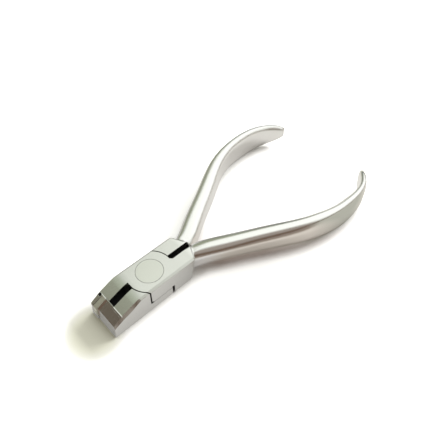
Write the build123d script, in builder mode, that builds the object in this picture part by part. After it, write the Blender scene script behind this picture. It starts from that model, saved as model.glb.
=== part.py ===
"""Lap-joint orthodontic pliers of the distal end cutter kind, closed and lying on one side.

Millimetres. The origin is on the pivot axis in the plane of the head's underside.
The nose points to -Y, the handles run to +Y, +X is the side of the right jaw, +Z is up.
"""

import os
from math import cos, radians, sin

from build123d import *

# Head block
head_width = 13.2
head_thickness = 10.5
top_chamfer = 0.77
bottom_chamfer = 0.62
heel_reach = 17.5
heel_half_slot = 1.0
heel_skew = 27.5
heel_lean = 8
heel_corner_radius = 1.3

# Lap joint
lap_height = 3.9
lap_gap = 0.06
upper_lap_radius = 8.05
lower_lap_radius = 7.65
upper_shoulder_gap = 0.3
lower_shoulder_gap = 0.55
hollow_relief = 0.5

# Jaws
nose_reach = 19.2
nose_lean = 0.45
left_nose_lead = 0.5
platform_start = 9.0
platform_drop = 2.6
platform_blend = 12.0
bevel_length = 3.35
bevel_foot = 5.65
side_bevel_inset = 0.7
side_bevel_lead = 0.4
side_bevel_start_drop = 0.77
side_bevel_knee_length = 3.35
side_bevel_knee_drop = 1.5
side_bevel_toe_drop = 1.3
left_bevel_share = 0.35
nose_corner_radius = 0.7

# Parting of the jaws at the nose and the slots behind it
parting_rear = 2.6
parting_front = 2.95
jaw_gap = 0.05
bar_depth = 3.6
bar_gap = 0.1
front_slot_left = -1.3
front_slot_right = 1.45
front_slot_web = 1.15
rear_slot_left = -0.7
rear_slot_right = 1.45
rear_slot_web = 0.8

# Rivet
rivet_radius = 4.65
rivet_head_height = 3.4
shank_radius = 3.1
foot_radius = 4.2
foot_height = 1.6
press_clearance = 0.02
turning_clearance = 0.05

# Cutting inserts, slit and notch in the tips
insert_clearance = 0.02
insert_seat_height = 2.2
insert_raise = 0.22
insert_length = 3.3
left_insert_width = 1.65
left_insert_flare = 0.3
right_insert_width = 0.9
leaf_thickness = 0.26
leaf_drop = 0.5
leaf_length = 2.3
notch_width = 1.0
notch_length = 0.9
notch_depth = 1.3
notch_setback = 3.0
notch_inset = 1.0

# Handles: the middle line bows out from the neck, and the section widens and deepens along it
handle_length = 77.8
handle_bow = 27.5
neck_depth = 2.5
neck_offset = 2.85
# Share of the bow, share of the length, then the middle's height, the width and half the height
handle_stations = [
    (0, 0, 5.4, 5.3, 4.4),
    (0.099, 0.085, 6.2, 7.0, 4.45),
    (0.314, 0.199, 6.9, 6.8, 4.5),
    (0.517, 0.311, 7.1, 6.6, 4.9),
    (0.753, 0.436, 7.4, 6.1, 5.35),
    (0.919, 0.560, 7.2, 5.2, 5.9),
    (1, 0.685, 6.6, 4.2, 6.3),
    (1, 0.809, 6.3, 3.6, 6.2),
    (0.903, 0.918, 6.3, 3.0, 5.2),
    (0.777, 0.976, 6.7, 2.4, 3.7),
    (0.712, 1, 7.05, 1.6, 2.2),
]
# Upper rim of the section from the inner face to the ridge, as shares of half its width and half height:
# the first three points lie on the inner rounding, the last three on the curved flank
section_rim = [
    (1, 0.55),
    (0.94, 0.70),
    (0.82, 0.82),
    (0.36, 0.945),
    (-0.38, 0.965),
    (-0.56, 0.885),
    (-0.77, 0.66),
    (-0.93, 0.36),
]
neck_overlap = 5.0

half_width = head_width / 2
left_reach = nose_reach + left_nose_lead
platform_end = nose_reach - bevel_length
side_bevel_knee = platform_end - side_bevel_knee_length
bar_rear = nose_reach - bar_depth
insert_rear = nose_reach - insert_length
leaf_rear = nose_reach - leaf_length
notch_y = -nose_reach + notch_setback
notch_x = -half_width + notch_inset
platform_front_height = head_thickness - platform_drop
bevel_slope = (platform_front_height - bevel_foot) / (nose_reach - platform_end)
lap_floor = lap_height - lap_gap / 2
lap_roof = lap_height + lap_gap / 2
upper_hollow_radius = upper_lap_radius + upper_shoulder_gap
lower_hollow_radius = lower_lap_radius + lower_shoulder_gap
spare = 2.0


def bevel_height(reach):
    """Height of the front bevel at a distance ahead of the pivot."""
    return bevel_foot + bevel_slope * (nose_reach - reach)


def platform_height(reach):
    """Height of the platform's plane at a distance ahead of the pivot."""
    return head_thickness - platform_drop * (reach - platform_start) / (platform_end - platform_start)


def parting_at(reach):
    """Distance of the parting line to the left of the middle, at a distance ahead of the pivot."""
    share = (reach - bar_rear) / (nose_reach - bar_rear)
    return parting_rear + (parting_front - parting_rear) * share


def left_insert_edge(reach):
    """Distance of the left insert's outer side from the middle, at a distance ahead of the pivot."""
    flare = left_insert_flare * (reach - insert_rear) / (left_reach - insert_rear)
    return parting_at(reach) + jaw_gap + left_insert_width + flare


def left_insert_outline(grow, overrun, near=-0.5):
    """Plan of the left insert, or of its seat: grown by a clearance, past the nose and the parting."""
    rear = insert_rear - grow
    front = left_reach + overrun
    return [
        (-parting_at(rear) - near, -rear),
        (-parting_at(front) - near, -front),
        (-left_insert_edge(front) - grow, -front),
        (-left_insert_edge(rear) - grow, -rear),
    ]


def leaf_outline(grow, overrun):
    """Plan of the thin leaf that lies against the outer side of the left insert, or of its slit."""
    inner = 2 * insert_clearance - grow
    outer = inner + leaf_thickness + 2 * grow
    rear = leaf_rear - grow
    front = left_reach + overrun
    return [
        (-left_insert_edge(rear) - inner, -rear),
        (-left_insert_edge(front) - inner, -front),
        (-left_insert_edge(front) - outer, -front),
        (-left_insert_edge(rear) - outer, -rear),
    ]


def right_insert_outline(grow, overrun, near=0.5):
    """Plan of the right insert, or of its seat: grown by a clearance, past the nose and the parting."""
    rear = insert_rear - grow
    front = nose_reach + overrun
    return [
        (-parting_at(rear) - near, -rear),
        (-parting_at(front) - near, -front),
        (-parting_at(front) + right_insert_width + grow, -front),
        (-parting_at(rear) + right_insert_width + grow, -rear),
    ]


# The whole head as one block, before it is divided between the arms
with BuildPart() as head_block:
    with BuildSketch():
        Rectangle(head_width, heel_reach, align=(Align.CENTER, Align.MIN))
        Rectangle(head_width, left_reach + nose_lean, align=(Align.CENTER, Align.MAX))
    extrude(amount=head_thickness)
    for side in (1, -1):
        heel_plane = Plane(
            origin=(side * heel_half_slot, heel_reach, head_thickness),
            z_dir=(side * sin(radians(heel_skew)), cos(radians(heel_skew)), -sin(radians(heel_lean))),
        )
        split(bisect_by=heel_plane, keep=Keep.BOTTOM)
    left_edges, *_, right_edges = head_block.edges().group_by(Axis.X)
    fillet([left_edges.sort_by(Axis.Y)[-1], right_edges.sort_by(Axis.Y)[-1]], heel_corner_radius)
    chamfer(head_block.faces().sort_by(Axis.Z)[-1].edges().sort_by(Axis.Y)[1:], top_chamfer)
    with BuildSketch(Plane.YZ.offset(-half_width)) as head_side:
        with BuildLine():
            Polyline(
                (heel_reach, 0),
                (heel_reach, head_thickness),
                (-platform_start, head_thickness),
                (-platform_end, platform_front_height),
                (-left_reach, bevel_height(left_reach)),
                (-left_reach - nose_lean, 0),
                close=True,
            )
        make_face()
        platform_crest = head_side.vertices().sort_by(Axis.Y)[-2:].sort_by(Axis.X)[0]
        fillet(platform_crest, platform_blend)
    extrude(amount=head_width, mode=Mode.INTERSECT)
    chamfer(head_block.faces().sort_by(Axis.Z)[0].edges(), bottom_chamfer)
    fillet(head_block.edges().group_by(Axis.X)[0].sort_by(Axis.Y)[0], nose_corner_radius)


def flank_bevel(side, share):
    """Wedge above the steep bevel beside the platform, with its drops in a share of the full ones."""
    rear = platform_start - side_bevel_lead
    stops = [
        (rear, head_thickness, side_bevel_start_drop),
        (side_bevel_knee, platform_height(side_bevel_knee), side_bevel_knee_drop),
        (platform_end, platform_front_height, side_bevel_toe_drop),
        (left_reach + spare, bevel_height(left_reach + spare), 0),
    ]
    inset = side_bevel_inset * share
    with BuildPart() as wedge:
        for x, fall in ((half_width - inset, 0), (half_width + inset, 2 * share)):
            with BuildSketch(Plane.YZ.offset(side * x)):
                with BuildLine():
                    Polyline(
                        (-rear, head_thickness + spare),
                        *[(-reach, height - fall * drop) for reach, height, drop in stops],
                        (-left_reach - spare, head_thickness + spare),
                        close=True,
                    )
                make_face()
        loft(ruled=True)
    return wedge.part


# What belongs to the upper arm: left jaw, upper lap plate and right shoulder
with BuildSketch() as upper_flanks:
    with BuildLine():
        Polyline(
            (front_slot_left + front_slot_web, 0),
            (front_slot_left + front_slot_web, -upper_lap_radius),
            (front_slot_left, -upper_lap_radius - front_slot_web),
            (front_slot_left, -bar_rear + bar_gap),
            (-parting_rear - jaw_gap, -bar_rear + bar_gap),
            (-parting_at(left_reach + spare) - jaw_gap, -left_reach - spare),
            (-half_width - spare, -left_reach - spare),
            (-half_width - spare, 0),
            close=True,
        )
    make_face()
    with BuildLine():
        Polyline(
            (rear_slot_right - rear_slot_web, 0),
            (rear_slot_right - rear_slot_web, upper_lap_radius),
            (rear_slot_right, upper_lap_radius + rear_slot_web),
            (rear_slot_right, heel_reach + spare),
            (half_width + spare, heel_reach + spare),
            (half_width + spare, 0),
            close=True,
        )
    make_face()

with BuildPart() as upper_share:
    with BuildSketch(Plane.XY.offset(-spare)):
        add(upper_flanks.sketch)
        Circle(lower_hollow_radius, mode=Mode.SUBTRACT)
    extrude(amount=spare + lap_roof)
    with BuildSketch(Plane.XY.offset(lap_roof)):
        add(upper_flanks.sketch)
        Circle(upper_lap_radius)
    extrude(amount=head_thickness)
    with BuildSketch(Plane.XY.offset(lap_roof)):
        Circle(lower_hollow_radius)
        Circle(lower_lap_radius, mode=Mode.SUBTRACT)
    extrude(amount=hollow_relief, mode=Mode.SUBTRACT)

# What belongs to the lower arm: right jaw with its nose bar, lower lap plate and left shoulder
with BuildSketch() as lower_flanks:
    with BuildLine():
        Polyline(
            (front_slot_right, 0),
            (front_slot_right, -bar_rear),
            (-parting_rear, -bar_rear),
            (-parting_at(left_reach + spare), -left_reach - spare),
            (half_width + spare, -left_reach - spare),
            (half_width + spare, 0),
            close=True,
        )
    make_face()
    with Locations((rear_slot_left, 0)):
        Rectangle(half_width + spare, heel_reach + spare, align=(Align.MAX, Align.MIN))

with BuildPart() as lower_share:
    with BuildSketch(Plane.XY.offset(lap_floor)):
        add(lower_flanks.sketch)
        Circle(upper_hollow_radius, mode=Mode.SUBTRACT)
    extrude(amount=head_thickness)
    with BuildSketch(Plane.XY.offset(-spare)):
        add(lower_flanks.sketch)
        Circle(lower_lap_radius)
    extrude(amount=spare + lap_floor)
    nose_face = Plane(origin=(0, -nose_reach, bevel_foot), z_dir=(0, -bevel_foot, nose_lean))
    split(bisect_by=nose_face, keep=Keep.BOTTOM)

# The right handle; the left one is its mirror image
with BuildPart() as handle:
    centres = [
        (
            neck_offset + (handle_bow - neck_offset) * out,
            heel_reach - neck_depth + (handle_length + neck_depth) * back,
        )
        for out, back, *_ in handle_stations
    ]
    path = Spline(*[(x, y, 0) for x, y in centres])
    for (x, y), (_, _, height, width, rise) in zip(centres, handle_stations):
        along = path % path.param_at_point((x, y, 0))
        with BuildSketch(Plane(origin=(x, y, height), x_dir=(-along.Y, along.X, 0), z_dir=along)):
            with BuildLine():
                for side in (rise, -rise):
                    rim = [(width / 2 * across, side * up) for across, up in section_rim]
                    ThreePointArc(*rim[:3])
                    Polyline(*rim[2:-2])
                    ThreePointArc(*rim[-3:])
                for across, up in (rim[0], rim[-1]):
                    Line((across, up), (across, -up))
            make_face()
    loft()

# Upper arm, with its rivet hole and the seats in its tip
upright = (Align.CENTER, Align.CENTER, Align.MIN)
with BuildPart() as upper_arm:
    add(head_block.part)
    add(flank_bevel(-1, left_bevel_share), mode=Mode.SUBTRACT)
    add(upper_share.part, mode=Mode.INTERSECT)
    add(handle.part)
    with BuildSketch(Plane.XY.offset(-spare)):
        with Locations((rear_slot_right, heel_reach - neck_overlap)):
            Rectangle(head_width, neck_overlap, align=(Align.MAX, Align.MIN))
    extrude(amount=head_thickness + 2 * spare, mode=Mode.SUBTRACT)
    with Locations((0, 0, head_thickness - rivet_head_height)):
        Cylinder(
            rivet_radius + press_clearance,
            rivet_head_height + spare,
            mode=Mode.SUBTRACT,
            align=upright,
        )
    Cylinder(shank_radius + press_clearance, head_thickness, mode=Mode.SUBTRACT, align=upright)
    with BuildSketch(Plane.XY.offset(insert_seat_height)):
        with BuildLine():
            Polyline(*left_insert_outline(insert_clearance, spare), close=True)
        make_face()
        with BuildLine():
            Polyline(*leaf_outline(insert_clearance, spare), close=True)
        make_face()
    extrude(amount=head_thickness, mode=Mode.SUBTRACT)
    with BuildSketch(Plane.XY.offset(bevel_height(-notch_y) - notch_depth)):
        with Locations((notch_x, notch_y)):
            Rectangle(notch_width, notch_length)
    extrude(amount=head_thickness, mode=Mode.SUBTRACT)

# Lower arm, with the turning fit of the rivet and the seat of the right insert
with BuildPart() as lower_arm:
    add(head_block.part)
    add(flank_bevel(1, 1), mode=Mode.SUBTRACT)
    add(lower_share.part, mode=Mode.INTERSECT)
    add(mirror(handle.part, about=Plane.YZ, mode=Mode.PRIVATE))
    with BuildSketch(Plane.XY.offset(-spare)):
        with Locations((rear_slot_left, heel_reach - neck_overlap)):
            Rectangle(head_width, neck_overlap, align=(Align.MIN, Align.MIN))
    extrude(amount=head_thickness + 2 * spare, mode=Mode.SUBTRACT)
    Cylinder(shank_radius + turning_clearance, head_thickness, mode=Mode.SUBTRACT, align=upright)
    Cylinder(
        foot_radius + turning_clearance,
        foot_height + turning_clearance,
        mode=Mode.SUBTRACT,
        align=upright,
    )
    with BuildSketch(Plane.XY.offset(insert_seat_height)):
        with BuildLine():
            Polyline(*right_insert_outline(insert_clearance, spare), close=True)
        make_face()
    extrude(amount=head_thickness, mode=Mode.SUBTRACT)

# Rivet: sunk head pressed into the upper arm, plain shank, sunk foot turning in the lower arm
with BuildPart() as pivot_rivet:
    Cylinder(shank_radius, head_thickness, align=upright)
    Cylinder(foot_radius, foot_height, align=upright)
    with Locations((0, 0, head_thickness - rivet_head_height + press_clearance)):
        Cylinder(rivet_radius, rivet_head_height - press_clearance, align=upright)


def tip_piece(outline, reach, lift):
    """Piece that stands on the seats' floor and ends in the nose's bevel and front face."""
    with BuildPart() as piece:
        with BuildSketch(Plane.XY.offset(insert_seat_height + insert_clearance)):
            with BuildLine():
                Polyline(*outline, close=True)
            make_face()
        extrude(amount=head_thickness)
        with BuildSketch(Plane.YZ.offset(-half_width)):
            with BuildLine():
                Polyline(
                    (0, 0),
                    (0, bevel_height(0) + lift),
                    (-reach, bevel_height(reach) + lift),
                    (-reach - nose_lean, 0),
                    close=True,
                )
            make_face()
        extrude(amount=head_width, mode=Mode.INTERSECT)
    return piece


left_cutting_insert = tip_piece(left_insert_outline(0, spare, jaw_gap), left_reach, insert_raise)
right_cutting_insert = tip_piece(right_insert_outline(0, spare, 0), nose_reach, 0)
wire_hold_leaf = tip_piece(leaf_outline(0, spare), left_reach, -leaf_drop)

os.makedirs("parts", exist_ok=True)
pieces = {
    "upper_arm": upper_arm,
    "lower_arm": lower_arm,
    "pivot_rivet": pivot_rivet,
    "left_cutting_insert": left_cutting_insert,
    "right_cutting_insert": right_cutting_insert,
    "wire_hold_leaf": wire_hold_leaf,
}
for label, piece in pieces.items():
    piece.part.label = label
    export_step(piece.part, f"parts/{label}.step")
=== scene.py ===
from math import cos, radians, sin

import bpy
from mathutils import Matrix, Vector


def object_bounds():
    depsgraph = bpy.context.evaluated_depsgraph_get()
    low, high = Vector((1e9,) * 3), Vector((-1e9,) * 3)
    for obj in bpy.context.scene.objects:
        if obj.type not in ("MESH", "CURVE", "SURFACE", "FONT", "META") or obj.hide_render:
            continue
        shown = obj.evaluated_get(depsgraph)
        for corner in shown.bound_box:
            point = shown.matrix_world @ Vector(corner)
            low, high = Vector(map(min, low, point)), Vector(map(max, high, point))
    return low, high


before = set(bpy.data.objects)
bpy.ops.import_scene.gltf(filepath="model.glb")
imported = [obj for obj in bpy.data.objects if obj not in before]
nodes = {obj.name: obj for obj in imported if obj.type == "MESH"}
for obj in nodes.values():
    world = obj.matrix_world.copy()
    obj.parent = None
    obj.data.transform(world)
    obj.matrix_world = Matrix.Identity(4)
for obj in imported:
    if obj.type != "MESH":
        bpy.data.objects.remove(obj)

cad_box = [list(corner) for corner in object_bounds()]
scene = bpy.context.scene
scene.view_settings.view_transform = "Standard"

# Lengths are in metres, apart from the limits that span() takes in millimetres. The pivot stands on the origin,
# the nose points to -Y and the handles to +Y, with the right handle on the side of +X.

# Steel of the arms: satin on the head, polished on the handles, with painted shade in the hollows
HEAD_TO_HANDLE = (0.0135, 0.0175)
HEAD_COLOUR, HEAD_ROUGHNESS = (0.68, 0.69, 0.66), 0.25
# The handles' steel gets a lighter tone than the head's, which lifts their highlights: a painted highlight, besides
# their real polish
HANDLE_COLOUR, HANDLE_ROUGHNESS = (0.83, 0.83, 0.82), 0.085
# Painted shade: the near-black colour and rough finish that the slots, seams, rivet ring and notch get for the shade
# inside them
HOLLOW_SHADE_COLOUR, HOLLOW_SHADE_ROUGHNESS = (0.03, 0.03, 0.025), 0.55
WEAR, WEAR_SCALE = 0.03, 160.0
GRAIN_SCALE, GRAIN_DEPTH = 900.0, 0.00005
HEAD_ROUNDING = 0.00012
LEFT_HANDLE_ROUNDING, RIGHT_HANDLE_ROUNDING = 0.0030, 0.0016
PLATFORM_EDGE = -0.01588
LIP_WIDTH, LIP_HEIGHT = 0.00028, 0.00014
TIP_LENGTH, TIP_FALL = 0.0050, 0.0011

# Floor as the camera sees it, with a painted shadow before the nose and a painted contact shadow beside the right
# handle
PAPER = (0.90, 0.90, 0.89)
# Painted shadow: an olive tint and a held-back lift in a fixed patch before the nose
PAPER_SHADOW_BEFORE_NOSE = (0.80, 0.80, 0.68)
# Painted shadow: a dark brown tone where the floor is closed in beside the right handle
PAPER_SHADOW_UNDER_HANDLE = (0.42, 0.35, 0.32)
SHADOW_REACH = 0.006
LIFT, LIFT_IN_NOSE_SHADOW = 0.45, 0.08
NOSE_SHADOW_CENTRE = (-0.0002, -0.0235, 0.0)

# Floor as the steel mirrors it: painted reflections, colours and a glow that only reflected rays see
MIRRORED_LEFT = (0.67, 0.655, 0.64)
MIRRORED_FAR_LEFT = (0.52, 0.53, 0.45)
MIRRORED_RIGHT = (0.66, 0.61, 0.57)
MIRRORED_FAR_RIGHT = (0.26, 0.21, 0.18)
MIRRORED_BACK_RIGHT = (0.42, 0.42, 0.38)
MIRRORED_BY_HEAD = (0.52, 0.50, 0.50)
MIRRORED_LEFT_OF_HEAD = (0.12, 0.10, 0.11)
# Painted reflection: the floor by the head glows for reflected rays only
HEAD_GLEAM = 0.22
TO_THE_RIGHT = (0.89, -0.45, 0.0)

# Room as the steel mirrors it: its brightness along one direction, from the dark front to the bright back,
# then the walls and the horizon
ROOM_DIRECTION = (0.0, 0.80, 0.45)
ROOM_REACH = (-0.3, 1.0)
ROOM_STOPS = [
    (0.00, (0.15, 0.11, 0.085)),
    (0.19, (0.17, 0.13, 0.10)),
    (0.27, (0.54, 0.58, 0.47)),
    (0.46, (0.64, 0.68, 0.57)),
    (0.58, (0.94, 0.96, 0.91)),
    (0.70, (1.16, 1.18, 1.11)),
    (1.00, (1.30, 1.30, 1.27)),
]
FRONT_RIGHT = (0.38, 0.33, 0.29)
LEFT_WALL = (0.36, 0.38, 0.28)
HORIZON_LEFT = (0.25, 0.26, 0.25)
HORIZON_RIGHT = (0.17, 0.12, 0.09)

# Window lamp
WINDOW_AZIMUTH, WINDOW_ELEVATION, WINDOW_REACH = radians(4), radians(31), 1.2
WINDOW_AIM = Vector((0, 0.02, 0))
WINDOW_WIDTH, WINDOW_HEIGHT, WINDOW_WATTS = 1.0, 0.20, 17.0

# Camera, as it was solved from the photograph
CAMERA_AZIMUTH, CAMERA_ELEVATION, CAMERA_ROLL = radians(47.93), radians(43.85), radians(-1.2)
CAMERA_PLACE = Vector((0.07260, -0.04312, 0.12779))
CAMERA_LENS, CAMERA_SHIFT = 35.85, (0.0390, -0.0650)

FLOOR_SIZE, FLOOR_CENTRE_Y = 6.0, 0.04


def new_material(name):
    mat = bpy.data.materials.new(name)
    mat.use_nodes = True
    tree = mat.node_tree
    return mat, tree, tree.nodes["Principled BSDF"]


def add_node(tree, kind, **values):
    node = tree.nodes.new(kind)
    for key, value in values.items():
        setattr(node, key, value)
    return node


def maths(tree, operation, *values):
    """One maths node, fed with sockets or numbers."""
    node = add_node(tree, "ShaderNodeMath", operation=operation)
    for place, value in enumerate(values):
        if isinstance(value, (int, float)):
            node.inputs[place].default_value = value
        else:
            tree.links.new(value, node.inputs[place])
    return node.outputs[0]


def product(tree, result, *others):
    """Product of sockets or numbers."""
    for other in others:
        result = maths(tree, "MULTIPLY", result, other)
    return result


def split(tree, vector):
    """The three coordinates of a vector."""
    axes = add_node(tree, "ShaderNodeSeparateXYZ")
    tree.links.new(vector, axes.inputs[0])
    return axes.outputs


def against(tree, operation, vector, fixed):
    """The dot product or the distance of a vector and a fixed one."""
    node = add_node(tree, "ShaderNodeVectorMath", operation=operation)
    node.inputs[1].default_value = fixed
    tree.links.new(vector, node.inputs[0])
    return node.outputs["Value"]


def span(tree, value, low, high):
    """1 where a length lies between two limits in millimetres, else 0."""
    return maths(tree, "COMPARE", value, (low + high) / 2000, (high - low) / 2000)


def change(tree, value, start, end, to_start=0.0, to_end=1.0, smooth=False):
    """A value that runs from one level to another between two limits."""
    node = add_node(tree, "ShaderNodeMapRange")
    if smooth:
        node.interpolation_type = "SMOOTHSTEP"
    numbers = {"From Min": start, "From Max": end, "To Min": to_start, "To Max": to_end}
    for key, number in numbers.items():
        node.inputs[key].default_value = number
    tree.links.new(value, node.inputs["Value"])
    return node.outputs["Result"]


def blend(tree, share, first, second):
    """Mix of two colours, each a socket or a colour."""
    node = add_node(tree, "ShaderNodeMix", data_type="RGBA")
    tree.links.new(share, node.inputs[0])
    for place, colour in ((6, first), (7, second)):
        if isinstance(colour, tuple):
            node.inputs[place].default_value = (*colour, 1)
        else:
            tree.links.new(colour, node.inputs[place])
    return node.outputs[2]


def noise(tree, place, scale, detail):
    """Noise over the object's own coordinates."""
    node = add_node(tree, "ShaderNodeTexNoise")
    node.inputs["Scale"].default_value = scale
    node.inputs["Detail"].default_value = detail
    tree.links.new(place, node.inputs["Vector"])
    return node.outputs["Fac"]


def steel(name, colour, rough, grain=0.0, metallic=1.0):
    """Steel with one tone all over, and a fine grain where it is asked for."""
    mat, tree, bsdf = new_material(name)
    bsdf.inputs["Base Color"].default_value = (*colour, 1)
    bsdf.inputs["Metallic"].default_value = metallic
    bsdf.inputs["Roughness"].default_value = rough
    if grain:
        place = add_node(tree, "ShaderNodeTexCoord").outputs["Object"]
        bump = add_node(tree, "ShaderNodeBump")
        bump.inputs["Strength"].default_value = grain
        bump.inputs["Distance"].default_value = GRAIN_DEPTH
        tree.links.new(noise(tree, place, GRAIN_SCALE, 2.0), bump.inputs["Height"])
        tree.links.new(bump.outputs["Normal"], bsdf.inputs["Normal"])
    return mat


def hollow_shade_mask(tree, x, y, z):
    """1 inside the slots, the joint's seams, the ring around the rivet and the notch, where shade is painted, else
    0.
    """
    radius = maths(tree, "SQRT", maths(tree, "ADD", product(tree, x, x), product(tree, y, y)))
    across_head = span(tree, x, -6.55, 6.55)
    below_top = span(tree, z, -1, 10.45)
    between_handle_and_jaw = maths(tree, "LESS_THAN", product(tree, x, y), 0.0)
    front_slot = (span(tree, x, -1.32, 1.47), span(tree, y, -15.63, -7.9), below_top)
    rear_slot = (span(tree, x, -0.72, 1.47), span(tree, y, 7.7, 17.6), below_top)
    upper_seam = (span(tree, radius, 8.03, 8.37), between_handle_and_jaw, span(tree, z, 3.8, 10.46))
    lower_seam = (span(tree, radius, 7.63, 8.22), across_head, span(tree, z, -1, 4.45))
    parting = (span(tree, z, 3.83, 3.97), span(tree, y, -4.9, 4.9), span(tree, radius, 5, 9))
    rivet_ring = (span(tree, radius, 4.60, 4.77), span(tree, z, 10.3, 11), across_head)
    notch = (span(tree, x, -6.12, -5.08), span(tree, y, -16.67, -15.73), span(tree, z, -1, 7.3))
    inside = product(tree, *front_slot)
    for hollow in (rear_slot, upper_seam, lower_seam, parting, rivet_ring, notch):
        inside = maths(tree, "MAXIMUM", inside, product(tree, *hollow))
    return inside


def nose_relief(tree, x, y, z):
    """Height of the bright lip at the platform's front edge, and the slight fall of the left jaw's tip."""
    lip = change(tree, y, PLATFORM_EDGE + LIP_WIDTH, PLATFORM_EDGE, 0.0, LIP_HEIGHT)
    beside_slot = maths(tree, "SUBTRACT", 1.0, span(tree, x, -2.6, 1.45))
    lip = product(tree, lip, span(tree, z, 7.6, 9), beside_slot)
    tip = change(tree, y, PLATFORM_EDGE, PLATFORM_EDGE - TIP_LENGTH, 0.0, TIP_FALL)
    tip = product(tree, tip, span(tree, x, -7, -4.75), span(tree, z, 5.0, 9))
    return maths(tree, "ADD", lip, tip)


def arm_steel(name):
    """Satin on the head, polished on the handles, with painted shade inside the slots and the joint's seams."""
    mat, tree, bsdf = new_material(name)
    bsdf.inputs["Metallic"].default_value = 1.0
    place = add_node(tree, "ShaderNodeTexCoord").outputs["Object"]
    x, y, z = split(tree, place)
    # Painted shade: 1 in the hollows, where a near-black colour stands in for their shade
    dark = hollow_shade_mask(tree, x, y, z)

    # Painted highlight: the handles' tone is lighter than the head's
    colour = blend(tree, change(tree, y, *HEAD_TO_HANDLE), HEAD_COLOUR, HANDLE_COLOUR)
    tree.links.new(blend(tree, dark, colour, HOLLOW_SHADE_COLOUR), bsdf.inputs["Base Color"])

    wear = change(tree, noise(tree, place, WEAR_SCALE, 3.0), 0.0, 1.0, -WEAR, WEAR)
    rough = maths(tree, "ADD", change(tree, y, *HEAD_TO_HANDLE, HEAD_ROUGHNESS, HANDLE_ROUGHNESS), wear)
    rough = maths(tree, "MAXIMUM", rough, product(tree, dark, HOLLOW_SHADE_ROUGHNESS))
    tree.links.new(rough, bsdf.inputs["Roughness"])

    handle_rounding = change(tree, x, -0.005, 0.005, LEFT_HANDLE_ROUNDING, RIGHT_HANDLE_ROUNDING)
    rounding = product(tree, change(tree, y, 0.0135, 0.0190), handle_rounding)
    edge = add_node(tree, "ShaderNodeBevel", samples=12)
    tree.links.new(maths(tree, "MAXIMUM", rounding, HEAD_ROUNDING), edge.inputs["Radius"])
    bump = add_node(tree, "ShaderNodeBump")
    bump.inputs["Strength"].default_value = 1.0
    bump.inputs["Distance"].default_value = 1.0
    tree.links.new(nose_relief(tree, x, y, z), bump.inputs["Height"])
    tree.links.new(edge.outputs["Normal"], bump.inputs["Normal"])
    tree.links.new(bump.outputs["Normal"], bsdf.inputs["Normal"])
    return mat


def floor_paper():
    """Pale paper: white to the camera where it is open to the room, with a painted shadow before the nose and a
    painted contact shadow beside the right handle, and darker and warmer painted reflections where the steel mirrors
    it.
    """
    mat, tree, bsdf = new_material("pale floor")
    bsdf.inputs["Roughness"].default_value = 0.9
    bsdf.inputs["Specular IOR Level"].default_value = 0.1
    bsdf.inputs["Emission Color"].default_value = (1, 1, 1, 1)
    place = add_node(tree, "ShaderNodeNewGeometry").outputs["Position"]
    path = add_node(tree, "ShaderNodeLightPath")
    sky = add_node(tree, "ShaderNodeAmbientOcclusion", samples=8)
    sky.inputs["Distance"].default_value = SHADOW_REACH
    open_sky = sky.outputs["AO"]
    x, y, _ = split(tree, place)
    aside = against(tree, "DOT_PRODUCT", place, TO_THE_RIGHT)
    from_nose_shadow = against(tree, "DISTANCE", place, NOSE_SHADOW_CENTRE)

    right_side = change(tree, aside, -0.024, -0.008)
    beyond_sides = change(tree, maths(tree, "ABSOLUTE", x), 0.028, 0.045)
    past_head = maths(tree, "MAXIMUM", change(tree, y, 0.014, 0.024), beyond_sides)

    by_handles = blend(tree, change(tree, aside, -0.060, -0.072), MIRRORED_LEFT, MIRRORED_FAR_LEFT)
    by_handles = blend(tree, right_side, by_handles, MIRRORED_RIGHT)
    by_handles = blend(tree, change(tree, aside, 0.020, 0.045), by_handles, MIRRORED_FAR_RIGHT)
    back_right = product(tree, right_side, change(tree, y, 0.055, 0.075))
    by_handles = blend(tree, back_right, by_handles, MIRRORED_BACK_RIGHT)
    left_of_head = product(tree, change(tree, x, -0.006, -0.008), change(tree, y, -0.016, -0.012))
    by_head = blend(tree, left_of_head, MIRRORED_BY_HEAD, MIRRORED_LEFT_OF_HEAD)
    mirrored = blend(tree, past_head, by_head, by_handles)

    # Painted shadow: a fixed olive patch before the nose
    seen = blend(tree, change(tree, from_nose_shadow, 0.006, 0.011, smooth=True), PAPER_SHADOW_BEFORE_NOSE, PAPER)
    # Painted contact shadow: the floor turns dark brown where ambient occlusion finds the right handle close
    painted_contact_shadow = change(tree, open_sky, 0.74, 0.58, smooth=True)
    painted_contact_shadow = product(tree, painted_contact_shadow, right_side, past_head, change(tree, y, 0.075, 0.040))
    seen = blend(tree, painted_contact_shadow, seen, PAPER_SHADOW_UNDER_HANDLE)
    # Painted reflections: reflected rays see the floor in its own colours by position
    colour = blend(tree, path.outputs["Is Glossy Ray"], seen, mirrored)
    tree.links.new(colour, bsdf.inputs["Base Color"])

    clear = change(tree, open_sky, 0.52, 0.76, smooth=True)
    # The lift is held back in the same fixed patch before the nose, part of its painted shadow
    lift = change(tree, from_nose_shadow, 0.0080, 0.0130, LIFT_IN_NOSE_SHADOW, LIFT, smooth=True)
    lift = product(tree, lift, clear, path.outputs["Is Camera Ray"])
    # Painted reflection: the glow by the head is seen by reflected rays only
    gleam = product(tree, maths(tree, "SUBTRACT", 1.0, past_head), HEAD_GLEAM, path.outputs["Is Glossy Ray"])
    tree.links.new(maths(tree, "ADD", lift, gleam), bsdf.inputs["Emission Strength"])
    return mat


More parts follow.
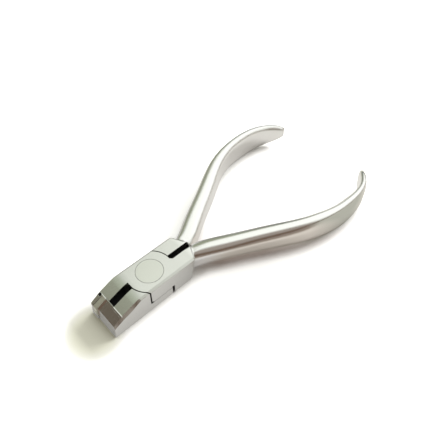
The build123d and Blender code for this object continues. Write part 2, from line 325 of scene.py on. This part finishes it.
def room_colour(tree):
    """The room by direction: the long ramp, a dimmer front right and left wall, and a dark horizon."""
    direction = add_node(tree, "ShaderNodeTexCoord").outputs["Generated"]
    x, y, z = split(tree, direction)
    ramp = add_node(tree, "ShaderNodeValToRGB")
    ramp.color_ramp.interpolation = "EASE"
    stops = ramp.color_ramp.elements
    for place, _ in ROOM_STOPS[1:-1]:
        stops.new(place)
    for stop, (place, colour) in zip(stops, ROOM_STOPS):
        stop.position, stop.color = place, (*colour, 1)
    facing = against(tree, "DOT_PRODUCT", direction, ROOM_DIRECTION)
    tree.links.new(change(tree, facing, *ROOM_REACH), ramp.inputs["Fac"])

    to_right = change(tree, x, -0.3, 0.4, smooth=True)
    to_front = change(tree, y, 0.35, 0.0, smooth=True)
    walls = blend(tree, product(tree, to_right, to_front), ramp.outputs["Color"], FRONT_RIGHT)
    walls = blend(tree, change(tree, x, -0.56, -0.64, smooth=True), walls, LEFT_WALL)
    horizon = blend(tree, change(tree, x, -0.5, 0.5, smooth=True), HORIZON_LEFT, HORIZON_RIGHT)
    return blend(tree, change(tree, z, 0.14, 0.38, smooth=True), horizon, walls)


def studio_world():
    """The room for the light and the reflections, and plain white where the camera looks straight at it."""
    world = bpy.data.worlds.new("studio")
    world.use_nodes = True
    tree = world.node_tree
    tree.nodes.clear()
    room = add_node(tree, "ShaderNodeBackground")
    tree.links.new(room_colour(tree), room.inputs["Color"])
    white = add_node(tree, "ShaderNodeBackground")
    white.inputs["Color"].default_value = (1, 1, 1, 1)
    path = add_node(tree, "ShaderNodeLightPath")
    mix = add_node(tree, "ShaderNodeMixShader")
    tree.links.new(path.outputs["Is Camera Ray"], mix.inputs[0])
    tree.links.new(room.outputs[0], mix.inputs[1])
    tree.links.new(white.outputs[0], mix.inputs[2])
    out = add_node(tree, "ShaderNodeOutputWorld")
    tree.links.new(mix.outputs[0], out.inputs["Surface"])
    return world


def finish_node(name, mat):
    obj = nodes[name]
    obj.data.materials.clear()
    obj.data.materials.append(mat)


arms = arm_steel("arm steel")
finish_node("upper_arm", arms)
finish_node("lower_arm", arms)
finish_node("pivot_rivet", steel("rivet steel", (0.69, 0.705, 0.655), 0.28, grain=0.05))
finish_node("left_cutting_insert", steel("hard insert", (0.74, 0.76, 0.66), 0.34, grain=0.05, metallic=0.5))
# The right insert's brown tone stands for the dark brown room it mirrors: painted reflection
finish_node("right_cutting_insert", steel("right hard insert, painted reflection tone", (0.62, 0.50, 0.45), 0.30, grain=0.05))
# The leaf's near-black tone is its own dark steel made darker for the shade of its recess: partly painted shade
finish_node("wire_hold_leaf", steel("leaf steel with painted shade", (0.14, 0.14, 0.13), 0.4))

# Floor, just under the part
lowest = Vector(cad_box[0]).z
bpy.ops.mesh.primitive_plane_add(size=FLOOR_SIZE, location=(0, FLOOR_CENTRE_Y, min(lowest, 0.0)))
floor = bpy.context.object
floor.name = "floor"
floor.data.materials.append(floor_paper())

scene.world = studio_world()

# A long window at the back, low and a little to the right, which the steel doesn't mirror
toward = Vector((
    sin(WINDOW_AZIMUTH) * cos(WINDOW_ELEVATION),
    cos(WINDOW_AZIMUTH) * cos(WINDOW_ELEVATION),
    sin(WINDOW_ELEVATION),
))
window_data = bpy.data.lights.new("window light", "AREA")
window_data.shape = "RECTANGLE"
window_data.size = WINDOW_WIDTH
window_data.size_y = WINDOW_HEIGHT
window_data.energy = WINDOW_WATTS
window = bpy.data.objects.new("window light", window_data)
window.visible_glossy = False
scene.collection.objects.link(window)
window.location = WINDOW_AIM + toward * WINDOW_REACH
window.rotation_mode = "QUATERNION"
window.rotation_quaternion = toward.to_track_quat("Z", "Y")

# Camera at the photograph's angle
back = Vector((
    sin(CAMERA_AZIMUTH) * cos(CAMERA_ELEVATION),
    -cos(CAMERA_AZIMUTH) * cos(CAMERA_ELEVATION),
    sin(CAMERA_ELEVATION),
))
level_right = Vector((cos(CAMERA_AZIMUTH), sin(CAMERA_AZIMUTH), 0))
level_up = back.cross(level_right)
right = cos(CAMERA_ROLL) * level_right + sin(CAMERA_ROLL) * level_up
up = -sin(CAMERA_ROLL) * level_right + cos(CAMERA_ROLL) * level_up
camera_data = bpy.data.cameras.new("camera")
camera_data.sensor_width = 36
camera_data.lens = CAMERA_LENS
camera_data.shift_x, camera_data.shift_y = CAMERA_SHIFT
camera_data.clip_start = 0.005
camera = bpy.data.objects.new("camera", camera_data)
scene.collection.objects.link(camera)
turn = Matrix((right, up, back)).transposed().to_4x4()
camera.matrix_world = Matrix.Translation(CAMERA_PLACE) @ turn
scene.camera = camera
